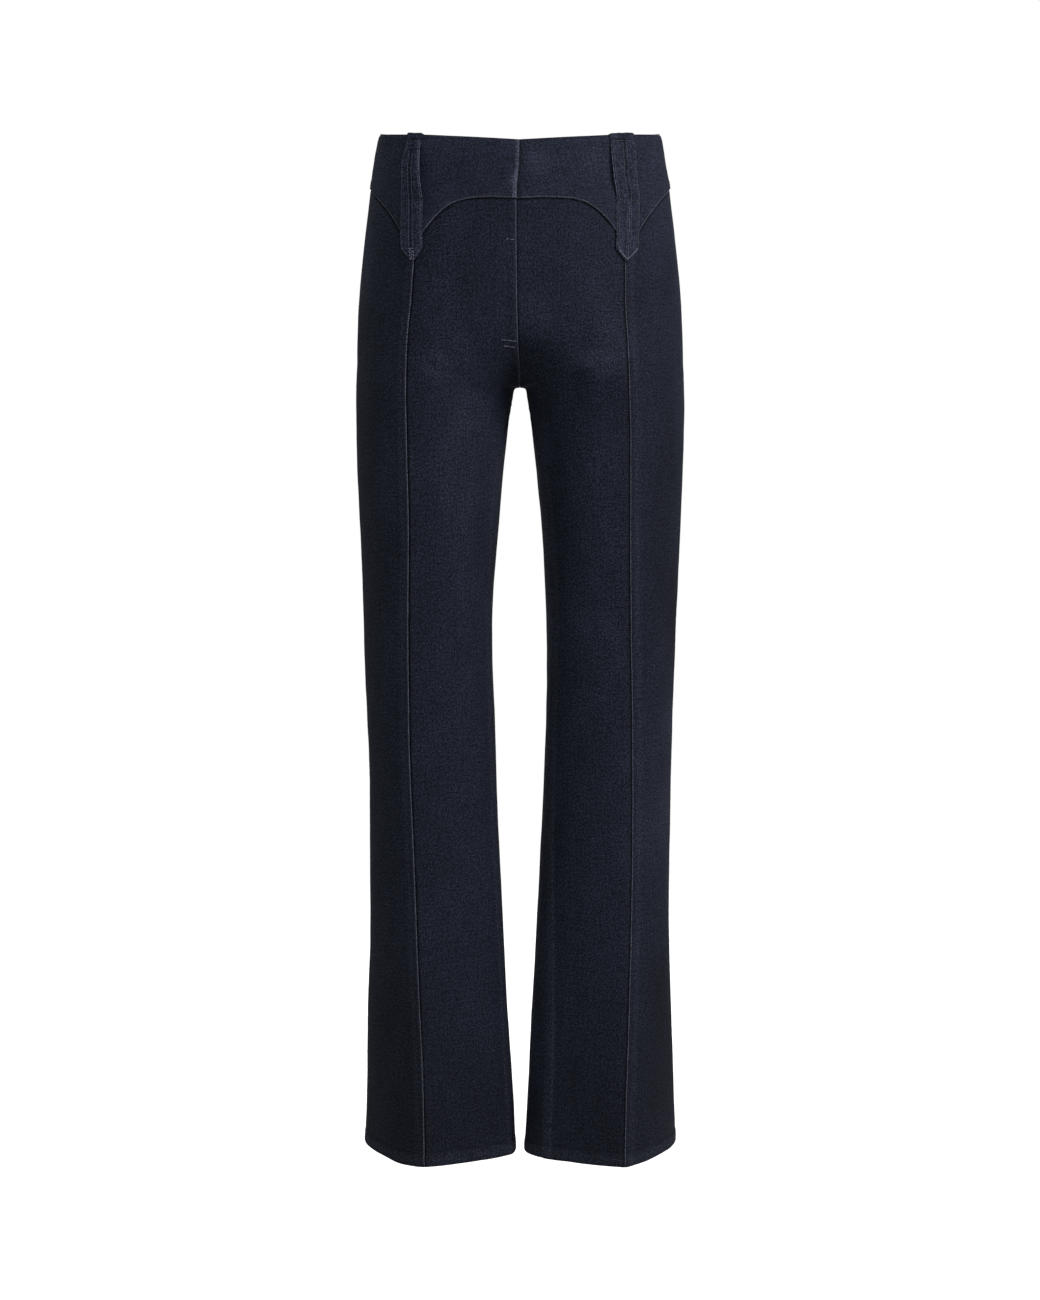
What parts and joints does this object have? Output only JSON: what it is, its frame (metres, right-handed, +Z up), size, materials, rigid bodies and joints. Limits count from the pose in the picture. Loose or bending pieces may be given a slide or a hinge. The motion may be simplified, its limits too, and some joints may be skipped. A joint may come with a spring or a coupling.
{
  "type": "slim fit jeans",
  "caption": "High-waisted denim jeans with flared legs, a scalloped waistband, long pointed belt loops and front leg seams, filled out as worn with hollow waist and legs.",
  "frame": {"origin": "centre of the wearer's waist, halfway up the waistband at its side seams, midway between the middle front and middle back planes of the form", "axes": "+Z up along the garment, -Y towards the front, +X towards the wearer's left"},
  "size_m": [0.3525, 0.2278, 1.0986],
  "materials": {
    "denim": "dark indigo stretch denim, fine twill with a mottled slub, matt",
    "denim_waistband": "dark indigo denim, doubled and pressed, slightly worn along its edges",
    "denim_loop": "dark indigo denim strip, topstitched, worn pale along its edges"
  },
  "bodies": {
    "root": {"waistband_front_right": "denim_waistband", "waistband_front_left": "denim_waistband", "waistband_back_right": "denim_waistband", "waistband_back_left": "denim_waistband", "front_centre_right": "denim", "front_centre_left": "denim", "front_side_right": "denim", "front_side_left": "denim", "back_right": "denim", "back_left": "denim", "belt_loop_front_right": "denim_loop", "belt_loop_front_left": "denim_loop", "belt_loop_back_right": "denim_loop", "belt_loop_back_left": "denim_loop"}
  },
  "joints": []
}
